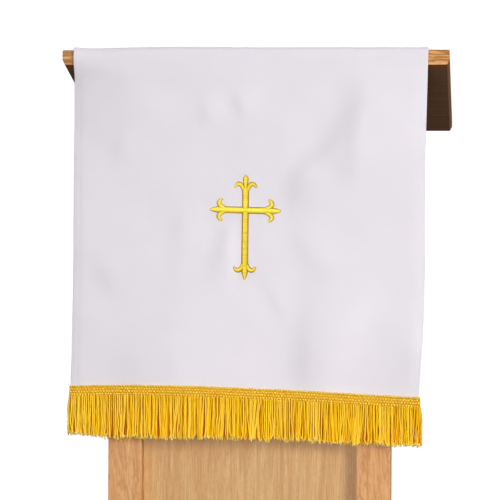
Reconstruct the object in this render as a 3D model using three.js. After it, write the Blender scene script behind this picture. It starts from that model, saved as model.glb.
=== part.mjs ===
// Pulpit scarf: a white cloth with an embroidered cross and a gold fringe, laid over
// the high edge of a plain wooden lectern. Millimetres, +Z up, the viewer's side is -Y.
// The origin is the middle of the underside of the base board.
import * as THREE from 'three';

// Lectern
const GAP = 0.3;                       // left between pieces that touch
const COLUMN_WIDTH = 419;
const COLUMN_DEPTH = 340;
const POST_SIDE = 50;
const REAR_INSET = 12;                 // the rear posts stand this much closer together
const PANEL_THICKNESS = 12;
const PANEL_RECESS = 22;               // from the posts' outer face to the panel's
const BASE_WIDTH = 500;
const BASE_DEPTH = 420;
const BASE_THICKNESS = 40;
const BASE_SECTION = [                 // from the floor up
  { inset: 2, height: 0 },
  { inset: 0, height: 2 },
  { inset: 0, height: 30 },
  { inset: 0.8, height: 34 },
  { inset: 3, height: 37 },
  { inset: 6, height: 39.2 },
  { inset: 10, height: BASE_THICKNESS },
];

// Sloping desk board. Its high edge faces the viewer.
const DESK_WIDTH = 573;
const DESK_LENGTH = 395;               // along the slope
const DESK_THICKNESS = 22;
const DESK_FACE = 14.5;                // upright part of its edges, above their chamfer
const DESK_SECTION = [                 // from the underside up, its top face at 0
  { inset: 3.5, height: -DESK_THICKNESS },
  { inset: 0, height: -DESK_FACE },
  { inset: 0, height: -1 },
  { inset: 1, height: 0 },
];
const DESK_SLOPE = THREE.MathUtils.degToRad(12);
const DESK_SHIFT = 7;                  // its middle lies this far right of the column's
const DESK_EDGE_HEIGHT = 1160;         // sharp top corner of the high edge
const DESK_OVERHANG = 8;               // that corner in front of the column

// Scarf
const CLOTH_THICKNESS = 1.2;
const CLOTH_ON_DESK = 320;             // lies behind the desk's high edge
const EDGE_CLEARANCE = 3;              // where the cloth turns over the edge
const TURN_INSET = 3.5;                // the turn's centre, from the desk's top and edge
const LIFT_LENGTH = 30;                // over which the cloth rises to that clearance
const CLOTH_COLUMNS = 30;
const DESK_ROWS = 7;
const LIFT_ROWS = 5;
const TURN_ROWS = 6;
const DROP_ROWS = 36;

// Fringe
const HEADING_HEIGHT = 16;
const HEADING_THICKNESS = 2;
const HEADING_OVERLAP = 14;            // of the heading on the cloth's front
const SEWN_GAP = 0.9;                  // between pieces that follow the same folds
const HEADING_PROUD = 1.5;             // past the cloth at each end
const SKIRT_THICKNESS = 5;
const SKIRT_BAR = 8;                   // solid top of the comb
const SKIRT_TEETH = 58;
const TOOTH_SHARE = 0.62;              // of the pitch
const TOOTH_SHORTEST = 2.5;            // a short tooth ends this much above a long one
const TOOTH_WAVE = 2.4;                // radians of that unevenness from tooth to tooth

// Embroidered cross
const CROSS_X = -5.5;
const CROSS_DROP = 237;                // its crossing below the desk's edge
const CROSS_SIDE_ARM = 53;
const CROSS_TOP_ARM = 52.5;
const CROSS_FOOT = 102.5;
const CROSS_HALF_BAR = 4.4;
const CROSS_THICKNESS = 1.2;
const CROSS_TILT_ACROSS = -0.026;      // radians
const CROSS_TILT_UP = -0.008;
const CROSS_FLAT_MARGIN = 12;          // cloth stiffened by the stitches around the cross
const CROSS_FLAT_FADE = 30;
const CURVE_STEPS = 5;

// The scarf's outline. x is measured from the column's middle, drop from the desk's edge.
const LEFT_EDGE = [
  { drop: 0, x: -262.5 },
  { drop: 400, x: -262.5 },
  { drop: 510, x: -265 },
  { drop: 600, x: -268 },
];
const RIGHT_EDGE = [
  { drop: 0, x: 262.5 },
  { drop: 75, x: 260.8 },
  { drop: 190, x: 258.4 },
  { drop: 310, x: 259 },
  { drop: 430, x: 256.2 },
  { drop: 510, x: 251.5 },
  { drop: 600, x: 256 },
];
const HEADING_TOP = [
  { x: -265, drop: 498 },
  { x: -176, drop: 496 },
  { x: -86, drop: 496.7 },
  { x: 17, drop: 500.2 },
  { x: 106, drop: 503.5 },
  { x: 150, drop: 506 },
  { x: 251, drop: 510.5 },
];
const STRAND_ENDS = [
  { x: -268, drop: 569.5 },
  { x: -220, drop: 573 },
  { x: -200, drop: 574 },
  { x: 3, drop: 574.5 },
  { x: 150, drop: 579.5 },
  { x: 255, drop: 583.5 },
];

// Soft ridges of the hanging cloth, or hollows where the rise is negative. lean is the angle
// in degrees that one turns from the vertical, its foot towards +X. steep and gentle are the
// widths of its -X and +X flanks.
const FOLDS = [
  { x: 168, drop: 122, lean: -6, halfLength: 78, steep: 28, gentle: 84, rise: 12.0 },
  { x: 126, drop: 150, lean: -32, halfLength: 40, steep: 20, gentle: 60, rise: 8.5 },
  { x: 84, drop: 190, lean: -38, halfLength: 34, steep: 20, gentle: 60, rise: 8.0 },
  { x: -60, drop: 90, lean: 8, halfLength: 20, steep: 14, gentle: 22, rise: 2.8 },
  { x: -8, drop: 83, lean: 8, halfLength: 20, steep: 14, gentle: 22, rise: 3.4 },
  { x: -272, drop: 72, lean: 0, halfLength: 86, steep: 60, gentle: 60, rise: -11.0 },
  { x: -150, drop: 60, lean: 0, halfLength: 60, steep: 60, gentle: 140, rise: 4.0 },
  { x: -130, drop: 54, lean: 90, halfLength: 76, steep: 34, gentle: 30, rise: -4.0 },
  { x: -186, drop: 140, lean: -20, halfLength: 22, steep: 13, gentle: 26, rise: 2.4 },
  { x: -97, drop: 282, lean: -6, halfLength: 46, steep: 20, gentle: 38, rise: 4.4 },
  { x: -33, drop: 296, lean: -20, halfLength: 40, steep: 17, gentle: 30, rise: 5.6 },
  { x: 98, drop: 300, lean: 36, halfLength: 52, steep: 21, gentle: 36, rise: 4.0 },
  { x: 44, drop: 368, lean: 28, halfLength: 36, steep: 12, gentle: 24, rise: 2.3 },
  { x: 94, drop: 440, lean: 0, halfLength: 72, steep: 21, gentle: 40, rise: 4.0 },
  { x: 132, drop: 425, lean: -28, halfLength: 76, steep: 46, gentle: 28, rise: 9.5 },
  { x: 268, drop: 460, lean: -18, halfLength: 66, steep: 50, gentle: 40, rise: 15.0 },
  { x: -205, drop: 334, lean: 20, halfLength: 26, steep: 16, gentle: 60, rise: 2.3 },
  { x: -158, drop: 482, lean: -6, halfLength: 36, steep: 34, gentle: 60, rise: 2.6 },
  { x: -106, drop: 445, lean: 0, halfLength: 95, steep: 84, gentle: 120, rise: 9.0 },
  { x: -112, drop: 470, lean: 0, halfLength: 36, steep: 12, gentle: 20, rise: 1.2 },
];
const FOLDS_START = 12;                // drop where the folds begin to show
const FOLDS_FULL = 45;
const CORNER_CURL = 4;                 // the lower right corner turns back this far
const CURL_START = { x: 185, drop: 320 };
const CURL_END = { x: 258, drop: 515 };
const SIDE_CURL = 2.6;                 // the hemmed sides turn back this far
const SIDE_CURL_WIDTH = 22;

const wood = new THREE.MeshStandardMaterial({ color: 0xcf9d68, roughness: 0.45, metalness: 0 });
const whiteCloth = new THREE.MeshStandardMaterial({ color: 0xe8e3ea, roughness: 0.9, metalness: 0 });
const goldThread = new THREE.MeshStandardMaterial({ color: 0xe7ae23, roughness: 0.45, metalness: 0 });

const { cos, sin, tan, PI } = Math;
const { degToRad, lerp, smoothstep } = THREE.MathUtils;

// Desk geometry in the (y, z) plane. Along runs down the slope, out leaves its top face.
const along = new THREE.Vector2(cos(DESK_SLOPE), -sin(DESK_SLOPE));
const out = new THREE.Vector2(sin(DESK_SLOPE), cos(DESK_SLOPE));
const deskEdge = new THREE.Vector2(-COLUMN_DEPTH / 2 - DESK_OVERHANG, DESK_EDGE_HEIGHT);

function fromDeskEdge(distance, height) {
  return deskEdge.clone().addScaledVector(along, distance).addScaledVector(out, height);
}

function valueIn(table, key, value, at) {
  const next = table.findIndex((row) => row[key] >= at);
  if (next === 0) return table[0][value];
  if (next < 0) return table[table.length - 1][value];
  const low = table[next - 1];
  const high = table[next];
  return lerp(low[value], high[value], (at - low[key]) / (high[key] - low[key]));
}

function namedMesh(name, geometry, material) {
  const mesh = new THREE.Mesh(geometry, material);
  mesh.name = name;
  return mesh;
}

// A board whose edges follow a section, its middle at x = y = 0
function board(width, depth, section) {
  const steps = section.length - 1;
  const geometry = new THREE.BoxGeometry(2, 2, steps, 1, 1, steps);
  return mapVertices(geometry, (sideX, sideY, level) => {
    const { inset, height } = section[Math.round(level + steps / 2)];
    return new THREE.Vector3(sideX * (width / 2 - inset), sideY * (depth / 2 - inset), height);
  });
}

function baseBoard() {
  return namedMesh('base_board', board(BASE_WIDTH, BASE_DEPTH, BASE_SECTION), wood);
}

function deskBoard() {
  const mesh = namedMesh('desk_board', board(DESK_WIDTH, DESK_LENGTH, DESK_SECTION), wood);
  const middle = fromDeskEdge(DESK_LENGTH / 2, 0);
  mesh.position.set(DESK_SHIFT, middle.x, middle.y);
  mesh.rotation.x = -DESK_SLOPE;
  return mesh;
}

// An upright that stands on the base and is cut to the slope under the desk
function upright(name, xMiddle, width, yFront, depth) {
  const undersideFront = fromDeskEdge(0, -DESK_THICKNESS - GAP);
  const topAt = (y) => undersideFront.y - (y - undersideFront.x) * tan(DESK_SLOPE);
  const foot = BASE_THICKNESS + GAP;
  const shape = new THREE.Shape();
  shape.moveTo(yFront, foot);
  shape.lineTo(yFront + depth, foot);
  shape.lineTo(yFront + depth, topAt(yFront + depth));
  shape.lineTo(yFront, topAt(yFront));
  const geometry = new THREE.ExtrudeGeometry(shape, { depth: width, bevelEnabled: false });
  geometry.translate(0, 0, -width / 2);
  geometry.rotateX(PI / 2);
  geometry.rotateZ(PI / 2);
  const mesh = namedMesh(name, geometry, wood);
  mesh.position.x = xMiddle;
  return mesh;
}

function column() {
  const group = new THREE.Group();
  const postX = (COLUMN_WIDTH - POST_SIDE) / 2;
  const front = -COLUMN_DEPTH / 2;
  const rear = COLUMN_DEPTH / 2;
  for (const [side, sign] of [['left', -1], ['right', 1]]) {
    group.add(upright(`front_${side}_post`, sign * postX, POST_SIDE, front, POST_SIDE));
    const rearX = sign * (postX - REAR_INSET);
    group.add(upright(`rear_${side}_post`, rearX, POST_SIDE, rear - POST_SIDE, POST_SIDE));
    const panelX = COLUMN_WIDTH / 2 - PANEL_RECESS - PANEL_THICKNESS / 2;
    const panelDepth = COLUMN_DEPTH - 2 * POST_SIDE - 2 * GAP;
    group.add(upright(`${side}_panel`, sign * panelX, PANEL_THICKNESS, -panelDepth / 2, panelDepth));
  }
  const panelWidth = COLUMN_WIDTH - 2 * POST_SIDE - 2 * GAP;
  group.add(upright('front_panel', 0, panelWidth, front + PANEL_RECESS, PANEL_THICKNESS));
  const rearWidth = panelWidth - 2 * REAR_INSET;
  group.add(upright('rear_panel', 0, rearWidth, rear - PANEL_RECESS - PANEL_THICKNESS, PANEL_THICKNESS));
  return group;
}

// The cloth's middle surface turns over the desk's edge around two centres, the upper one
// to run down that edge and the lower one to hang straight. run is the distance along the
// cloth, 0 where the turn starts.
const turnRadius = TURN_INSET + EDGE_CLEARANCE + CLOTH_THICKNESS / 2;
const upperCentre = fromDeskEdge(TURN_INSET, -TURN_INSET);
const lowerCentre = fromDeskEdge(TURN_INSET, TURN_INSET - DESK_FACE);
const upperTurn = turnRadius * PI / 2;
const edgeFace = DESK_FACE - 2 * TURN_INSET;
const lowerTurn = turnRadius * DESK_SLOPE;
const hangStart = upperTurn + edgeFace + lowerTurn;

// Returns y, z and the cloth's outward direction in the (y, z) plane
function pathAt(run) {
  if (run < 0) {
    const resting = GAP + CLOTH_THICKNESS / 2;
    const lifted = EDGE_CLEARANCE + CLOTH_THICKNESS / 2;
    const height = lerp(lifted, resting, smoothstep(-run, 0, LIFT_LENGTH));
    return { point: fromDeskEdge(TURN_INSET - run, height), outward: out };
  }
  if (run < upperTurn + edgeFace) {
    const turned = Math.min(run / turnRadius, PI / 2);
    const outward = out.clone().rotateAround(new THREE.Vector2(), turned);
    const down = Math.max(run - upperTurn, 0);
    const point = upperCentre.clone().addScaledVector(outward, turnRadius).addScaledVector(out, -down);
    return { point, outward };
  }
  const turned = PI / 2 + Math.min((run - upperTurn - edgeFace) / turnRadius, DESK_SLOPE);
  const outward = out.clone().rotateAround(new THREE.Vector2(), turned);
  const point = lowerCentre.clone().addScaledVector(outward, turnRadius);
  point.y -= Math.max(run - hangStart, 0);
  return { point, outward };
}

function crossFlatness(x, drop) {
  const beyondX = Math.abs(x - CROSS_X) - CROSS_SIDE_ARM - CROSS_FLAT_MARGIN;
  const above = CROSS_DROP - CROSS_TOP_ARM - CROSS_FLAT_MARGIN - drop;
  const below = drop - CROSS_DROP - CROSS_FOOT - CROSS_FLAT_MARGIN;
  return smoothstep(Math.max(beyondX, above, below), 0, CROSS_FLAT_FADE);
}

function foldHeight(x, drop) {
  let height = 0;
  for (const fold of FOLDS) {
    const lean = degToRad(fold.lean);
    const dx = x - fold.x;
    const dd = drop - fold.drop;
    const lengthwise = (dx * sin(lean) + dd * cos(lean)) / fold.halfLength;
    const aside = dx * cos(lean) - dd * sin(lean);
    const across = aside / (aside < 0 ? fold.steep : fold.gentle);
    height += fold.rise * Math.exp(-(lengthwise ** 2) - across ** 2);
  }
  const cornerX = smoothstep(x, CURL_START.x, CURL_END.x);
  const corner = CORNER_CURL * cornerX ** 2 * smoothstep(drop, CURL_START.drop, CURL_END.drop);
  const fromLeft = x - valueIn(LEFT_EDGE, 'drop', 'x', drop);
  const fromRight = valueIn(RIGHT_EDGE, 'drop', 'x', drop) - x;
  const sides = SIDE_CURL * (1 - smoothstep(Math.min(fromLeft, fromRight), 0, SIDE_CURL_WIDTH)) ** 2;
  return (height * crossFlatness(x, drop) - corner - sides) * smoothstep(drop, FOLDS_START, FOLDS_FULL);
}

// A place on the cloth: x, the run along it and the height above its middle surface
function onCloth(x, run, height) {
  const { point, outward } = pathAt(run);
  const fold = run > 0 ? foldHeight(x, DESK_EDGE_HEIGHT - point.y) : 0;
  const y = point.x + outward.x * (height + fold);
  const z = point.y + outward.y * (height + fold);
  return new THREE.Vector3(x, y, z);
}

// A place on the hanging part, by its drop below the desk's edge
function hanging(x, drop, height) {
  const hangTop = DESK_EDGE_HEIGHT - pathAt(hangStart).point.y;
  return onCloth(x, hangStart + drop - hangTop, height);
}

function mapVertices(geometry, place) {
  const position = geometry.attributes.position;
  for (let i = 0; i < position.count; i += 1) {
    const moved = place(position.getX(i), position.getY(i), position.getZ(i));
    position.setXYZ(i, moved.x, moved.y, moved.z);
  }
  return geometry;
}

// The rows of the cloth, from its rear hem to the foot of the turn
function rowsToTurn() {
  const runs = [];
  for (let i = 0; i < DESK_ROWS; i += 1) {
    runs.push(lerp(-CLOTH_ON_DESK, -LIFT_LENGTH, i / DESK_ROWS));
  }
  for (let i = 0; i < LIFT_ROWS; i += 1) {
    runs.push(lerp(-LIFT_LENGTH, 0, i / LIFT_ROWS));
  }
  for (let i = 0; i < TURN_ROWS; i += 1) {
    runs.push(upperTurn * i / TURN_ROWS);
  }
  runs.push(upperTurn, upperTurn + edgeFace, hangStart);
  return runs;
}

function scarfCloth() {
  const runs = rowsToTurn();
  const rows = runs.length - 1 + DROP_ROWS;
  const geometry = new THREE.BoxGeometry(1, rows, CLOTH_THICKNESS, CLOTH_COLUMNS, rows, 1);
  const hangTop = DESK_EDGE_HEIGHT - pathAt(hangStart).point.y;
  mapVertices(geometry, (share, rowHeight, height) => {
    const row = Math.round(rows / 2 - rowHeight);
    const downShare = Math.max(row - runs.length + 1, 0) / DROP_ROWS;
    const widest = lerp(LEFT_EDGE[0].x, RIGHT_EDGE[0].x, share + 0.5);
    const hem = valueIn(HEADING_TOP, 'x', 'drop', widest) + HEADING_OVERLAP;
    const drop = lerp(hangTop, hem, downShare);
    const left = valueIn(LEFT_EDGE, 'drop', 'x', drop);
    const right = valueIn(RIGHT_EDGE, 'drop', 'x', drop);
    const x = lerp(left, right, share + 0.5);
    return downShare > 0 ? hanging(x, drop, height) : onCloth(widest, runs[row], height);
  });
  return namedMesh('scarf_cloth', geometry, whiteCloth);
}

const sewnSeat = CLOTH_THICKNESS / 2 + SEWN_GAP;

// Share 0 is the left end of the fringe and share 1 the right one
function fringeX(share, drop) {
  const left = valueIn(LEFT_EDGE, 'drop', 'x', drop) - HEADING_PROUD;
  const right = valueIn(RIGHT_EDGE, 'drop', 'x', drop) + HEADING_PROUD;
  return lerp(left, right, share);
}

function fringeHeading() {
  const geometry = new THREE.BoxGeometry(1, HEADING_HEIGHT, HEADING_THICKNESS, CLOTH_COLUMNS, 1, 1);
  const middle = sewnSeat + HEADING_THICKNESS / 2;
  mapVertices(geometry, (share, y, height) => {
    const top = valueIn(HEADING_TOP, 'x', 'drop', fringeX(share + 0.5, HEADING_TOP[0].drop));
    const drop = top + HEADING_HEIGHT / 2 - y;
    return hanging(fringeX(share + 0.5, drop), drop, middle + height);
  });
  return namedMesh('fringe_heading', geometry, goldThread);
}

// The strands as one comb, its shape drawn with x as a share of the width
function fringeSkirt() {
  const shape = new THREE.Shape();
  const drawn = (share, below) => new THREE.Vector2(share, -below);
  const skirtLength = (share, tooth) => {
    const x = fringeX(share, HEADING_TOP[0].drop);
    const top = valueIn(HEADING_TOP, 'x', 'drop', x) + HEADING_HEIGHT + SEWN_GAP;
    const shorter = TOOTH_SHORTEST * (1 + sin(tooth * TOOTH_WAVE)) / 2;
    return valueIn(STRAND_ENDS, 'x', 'drop', x) - shorter - top;
  };
  const outline = [];
  for (let tooth = 0; tooth <= SKIRT_TEETH; tooth += 1) {
    outline.push(drawn(1 - tooth / SKIRT_TEETH, 0));
  }
  for (let tooth = 0; tooth < SKIRT_TEETH; tooth += 1) {
    const left = (tooth + (1 - TOOTH_SHARE) / 2) / SKIRT_TEETH;
    const right = left + TOOTH_SHARE / SKIRT_TEETH;
    const length = skirtLength((left + right) / 2, tooth);
    outline.push(drawn(left, SKIRT_BAR), drawn(left, length));
    outline.push(drawn(right, length), drawn(right, SKIRT_BAR));
  }
  shape.setFromPoints(outline);
  const geometry = new THREE.ExtrudeGeometry(shape, { depth: SKIRT_THICKNESS, bevelEnabled: false });
  const back = sewnSeat + HEADING_THICKNESS / 2 - SKIRT_THICKNESS / 2;
  mapVertices(geometry, (share, below, height) => {
    const top = valueIn(HEADING_TOP, 'x', 'drop', fringeX(share, HEADING_TOP[0].drop));
    const drop = top + HEADING_HEIGHT + SEWN_GAP - below;
    return hanging(fringeX(share, drop), drop, back + height);
  });
  return namedMesh('fringe_skirt', geometry, goldThread);
}

// Right half of an arm that points up, from the stem to the tip: the curled petal, then
// the bud. across is from the arm's middle line, back is from its tip.
const PETAL = [
  { bend: { across: 4.6, back: 19.5 }, end: { across: 9.6, back: 17.6 } },
  { bend: { across: 14.4, back: 16.4 }, end: { across: 17.2, back: 21.8 } },
  { bend: { across: 17.2, back: 10.6 }, end: { across: 9.2, back: 10.2 } },
  { bend: { across: 5.6, back: 10.3 }, end: { across: 3.2, back: 14.2 } },
  { bend: { across: 5.4, back: 6.5 }, end: { across: 0, back: 0 } },
];
const PETAL_ROOT = 25;

function armOutline(length, direction) {
  const half = new THREE.Path();
  half.moveTo(CROSS_HALF_BAR, CROSS_HALF_BAR);
  half.lineTo(CROSS_HALF_BAR, length - PETAL_ROOT);
  for (const { bend, end } of PETAL) {
    half.quadraticCurveTo(bend.across, length - bend.back, end.across, length - end.back);
  }
  const points = half.getPoints(CURVE_STEPS);
  const mirrored = points.slice(1, -1).reverse().map((p) => new THREE.Vector2(-p.x, p.y));
  return [...points, ...mirrored].map((p) => p.rotateAround(new THREE.Vector2(), direction));
}

function crossEmbroidery() {
  const arms = [
    { length: CROSS_SIDE_ARM, direction: -PI / 2 + CROSS_TILT_ACROSS },
    { length: CROSS_TOP_ARM, direction: CROSS_TILT_UP },
    { length: CROSS_SIDE_ARM, direction: PI / 2 + CROSS_TILT_ACROSS },
    { length: CROSS_FOOT, direction: PI + CROSS_TILT_UP },
  ];
  const outline = arms.flatMap(({ length, direction }) => armOutline(length, direction));
  const shape = new THREE.Shape(outline);
  const geometry = new THREE.ExtrudeGeometry(shape, { depth: CROSS_THICKNESS, bevelEnabled: false });
  mapVertices(geometry, (x, y, height) => hanging(CROSS_X + x, CROSS_DROP - y, sewnSeat + height));
  return namedMesh('cross_embroidery', geometry, goldThread);
}

const pulpitScarf = new THREE.Group();
pulpitScarf.add(baseBoard(), column(), deskBoard());
pulpitScarf.add(scarfCloth(), fringeHeading(), fringeSkirt(), crossEmbroidery());

export default pulpitScarf;
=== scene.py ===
"""Pulpit scarf on a lectern: a white cloth with a gold cross and a gold fringe, which
lies on a sloping desk and hangs over its high edge. Lengths are millimetres until a mesh
is made, and metres for the lights and the floor. x, drop and run are measured as in the
frame: x from the column's middle, drop from the desk's high edge, run along the cloth from
where it turns over that edge."""

import math

import bpy
import numpy as np
from mathutils import Matrix, Vector


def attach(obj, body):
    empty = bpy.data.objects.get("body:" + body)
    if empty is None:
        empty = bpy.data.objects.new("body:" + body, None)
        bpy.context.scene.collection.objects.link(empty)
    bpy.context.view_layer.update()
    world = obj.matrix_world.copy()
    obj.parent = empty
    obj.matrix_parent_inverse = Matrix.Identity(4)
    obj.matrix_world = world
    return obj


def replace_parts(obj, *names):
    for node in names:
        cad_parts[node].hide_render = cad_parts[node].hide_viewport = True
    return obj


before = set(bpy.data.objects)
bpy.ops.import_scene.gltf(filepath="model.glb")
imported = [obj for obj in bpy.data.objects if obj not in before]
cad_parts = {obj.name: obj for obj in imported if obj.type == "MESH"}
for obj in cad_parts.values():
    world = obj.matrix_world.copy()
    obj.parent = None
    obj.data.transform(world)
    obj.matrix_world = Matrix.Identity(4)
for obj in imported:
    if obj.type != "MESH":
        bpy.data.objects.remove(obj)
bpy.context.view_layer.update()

MM = 0.001


def table(columns, *rows):
    """Rows of values under their column names."""
    return [dict(zip(columns, row)) for row in rows]


# Seeds of the random numbers
WAVE_SEED = 20
CROSS_SEED = 21
HEADING_SEED = 22
STRAND_SEED = 23               # of the first layer of strands, and the others follow

# Desk edge, as in the frame
DESK_SLOPE = math.radians(12)
DESK_FACE = 14.5
DESK_EDGE_HEIGHT = 1160
DESK_EDGE_Y = -178
DESK_MIDDLE = 7
GAP = 0.3

# Cloth
CLOTH_THICKNESS = 0.9
CLOTH_ON_DESK = 320
EDGE_CLEARANCE = 3.1
TURN_INSET = 3.5
LIFT_LENGTH = 30
HEM_WIDTH = 8
HEM_EXTRA = 0.7                # thickness that the turned hem adds
HEM_PROUD = 0.6                # share of it that shows on the front where the cloth hangs
HEM_STEP = (-0.4, 0.6)         # its thickness fades between these, from the hem's width
REAR_HEM_WIDTH = 18
STITCH_INSET = 1.2             # from a hem's inner edge
STITCH_GROOVE = 0.35
GROOVE_WIDTH = 0.5
STITCH_LENGTH = 2.4
STITCH_PITCH = 3.2
STITCH_RADIUS = 0.2
STITCH_LIFT = 0.1              # over the bottom of its groove
REAR_STITCH_LIFT = 0.3         # more than that, as the whole rear hem is on top of the cloth

# Fringe
HEADING_HEIGHT = 16
HEADING_OVERLAP = 14
HEADING_PROUD = 1.5

# Cross
CROSS_X = -5.5
CROSS_DROP = 237
CROSS_SIDE_ARM = 53
CROSS_TOP_ARM = 52.5
CROSS_FOOT = 102.5
CROSS_TILT_ACROSS = -0.026
CROSS_TILT_UP = -0.008
CROSS_HALF_BAR = 4.4
CROSS_FLAT_MARGIN = 2
CROSS_FLAT_FADE = 24
CROSS_FOLDS_KEPT = 0.3         # of the folds' height under the embroidery

# Outline of the hanging part
LEFT_EDGE = table(
    ("drop", "x"),
    (0, -262.5),
    (400, -262.5),
    (510, -265),
    (600, -268),
)
RIGHT_EDGE = table(
    ("drop", "x"),
    (0, 262.5),
    (75, 260.8),
    (190, 258.4),
    (310, 259),
    (430, 256.2),
    (510, 251.5),
    (600, 256),
)
HEADING_TOP = table(
    ("x", "drop"),
    (-265, 498),
    (-176, 496),
    (-86, 496.7),
    (17, 500.2),
    (106, 503.5),
    (150, 506),
    (251, 510.5),
)
STRAND_ENDS = table(
    ("x", "drop"),
    (-268, 569.5),
    (-220, 573),
    (-200, 574),
    (3, 574.5),
    (150, 579.5),
    (255, 583.5),
)
EDGE_LIFT = table(
    ("x", "lift"),
    (-262, 0.2),
    (-238, -0.8),
    (-180, 0.4),
    (-75, 1.1),
    (15, 0.3),
    (140, 0.4),
    (262, 0),
)

# Soft ridges of the hanging cloth, or hollows where the rise is negative. lean is the angle in
# degrees that one turns from the vertical, its foot towards +X. steep and gentle are the widths
# of its -X and +X flanks.
FOLDS = table(
    ("x", "drop", "lean", "half_length", "steep", "gentle", "rise"),
    (168, 122, -6, 78, 28, 84, 12.0),
    (126, 150, -32, 40, 20, 60, 8.5),
    (84, 190, -38, 34, 20, 60, 8.0),
    (-60, 90, 8, 20, 14, 22, 2.8),
    (-8, 83, 8, 20, 14, 22, 3.4),
    (-272, 72, 0, 86, 60, 60, -11.0),
    (-150, 60, 0, 60, 60, 140, 4.0),
    (-130, 54, 90, 76, 34, 30, -4.0),
    (-186, 140, -20, 22, 13, 26, 2.4),
    (-97, 282, -6, 46, 20, 38, 4.4),
    (-33, 296, -20, 40, 17, 30, 5.6),
    (98, 300, 36, 52, 21, 36, 4.0),
    (44, 368, 28, 36, 12, 24, 2.3),
    (94, 440, 0, 72, 21, 40, 4.0),
    (132, 425, -28, 76, 46, 28, 9.5),
    (268, 460, -18, 66, 50, 40, 15.0),
    (-205, 334, 20, 26, 16, 60, 2.3),
    (-158, 482, -6, 36, 34, 60, 2.6),
    (-106, 445, 0, 95, 84, 120, 9.0),
    (-112, 470, 0, 36, 12, 20, 1.2),
)
FOLDS_START = 12
FOLDS_FULL = 45
CORNER_CURL = 4
CURL_START = {"x": 185, "drop": 320}
CURL_END = {"x": 258, "drop": 515}
SIDE_CURL = 2.6
SIDE_CURL_WIDTH = 22

# Faint waves of the whole cloth
WAVE_COUNT = 14
WAVE_LENGTHS = (45, 170)
WAVE_HEIGHT = 0.16
DESK_WAVE_HEIGHT = 0.3         # where it lies on the desk
DESK_WAVE_SHARE = 0.5
DESK_WAVE_MOST = 1.2
DESK_WAVES_FULL = 90           # so far from the desk's high edge


# Numbers

def smoothstep(value, low, high):
    share = np.clip((value - low) / (high - low), 0, 1)
    return share * share * (3 - 2 * share)


def value_in(rows, key, value, at):
    """A table's value at a place, rounded off between its rows."""
    places = np.array([row[key] for row in rows], float)
    values = np.array([row[value] for row in rows], float)
    slopes = np.gradient(values, places)
    at = np.clip(np.asarray(at, float), places[0], places[-1])
    row = np.clip(np.searchsorted(places, at, side="right") - 1, 0, len(places) - 2)
    span = places[row + 1] - places[row]
    t = (at - places[row]) / span
    start = values[row] * (1 + 2 * t) * (1 - t) ** 2 + slopes[row] * span * t * (1 - t) ** 2
    end = values[row + 1] * (3 - 2 * t) * t ** 2 - slopes[row + 1] * span * t ** 2 * (1 - t)
    return start + end


def linear(red, green, blue):
    """A colour given in the 0 to 255 steps of a screen, as the renderer's linear values."""
    parts = np.array([red, green, blue]) / 255
    values = np.where(parts <= 0.04045, parts / 12.92, ((parts + 0.055) / 1.055) ** 2.4)
    return (*values.tolist(), 1.0)


# The cloth's surface

ALONG = np.array([math.cos(DESK_SLOPE), -math.sin(DESK_SLOPE)])
OUT = np.array([math.sin(DESK_SLOPE), math.cos(DESK_SLOPE)])
DESK_EDGE = np.array([DESK_EDGE_Y, DESK_EDGE_HEIGHT])
TURN_RADIUS = TURN_INSET + EDGE_CLEARANCE + CLOTH_THICKNESS / 2
UPPER_TURN = TURN_RADIUS * math.pi / 2
EDGE_LIFT_END = 4 * UPPER_TURN
EDGE_FACE = DESK_FACE - 2 * TURN_INSET
HANG_START = UPPER_TURN + EDGE_FACE + TURN_RADIUS * DESK_SLOPE   # the run where it hangs straight


def path_at(run):
    """Points and outward directions of the cloth's middle in the (y, z) plane."""
    run = np.asarray(run, float)
    turned = np.clip(run / TURN_RADIUS, 0, math.pi / 2)
    turned = turned + np.clip((run - UPPER_TURN - EDGE_FACE) / TURN_RADIUS, 0, DESK_SLOPE)
    cosine, sine = np.cos(turned), np.sin(turned)
    outward = np.stack([OUT[0] * cosine - OUT[1] * sine, OUT[0] * sine + OUT[1] * cosine], -1)
    centre = DESK_EDGE + TURN_INSET * (ALONG - OUT)
    centre = centre - np.clip(run - UPPER_TURN, 0, EDGE_FACE)[..., None] * OUT
    point = centre + TURN_RADIUS * outward
    point[..., 1] -= np.maximum(run - HANG_START, 0)
    resting = GAP + CLOTH_THICKNESS / 2
    lifted = EDGE_CLEARANCE + CLOTH_THICKNESS / 2
    height = lifted + (resting - lifted) * smoothstep(-run, 0, LIFT_LENGTH)
    lying = DESK_EDGE + (TURN_INSET - run)[..., None] * ALONG + height[..., None] * OUT
    return np.where((run < 0)[..., None], lying, point), outward


HANG_TOP = DESK_EDGE_HEIGHT - float(path_at(HANG_START)[0][1])


def undulation(x, drop, height=WAVE_HEIGHT):
    """Faint waves of the whole cloth, the same each time."""
    draw = np.random.default_rng(WAVE_SEED)
    total = np.zeros_like(x + drop)
    for _ in range(WAVE_COUNT):
        angle = draw.uniform(0, math.pi)
        step = 2 * math.pi / draw.uniform(*WAVE_LENGTHS)
        phase = draw.uniform(0, 2 * math.pi)
        total = total + height * np.sin(step * (x * math.cos(angle) + drop * math.sin(angle)) + phase)
    return total


def left_edge(drop):
    return value_in(LEFT_EDGE, "drop", "x", drop)


def right_edge(drop):
    return value_in(RIGHT_EDGE, "drop", "x", drop)


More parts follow.
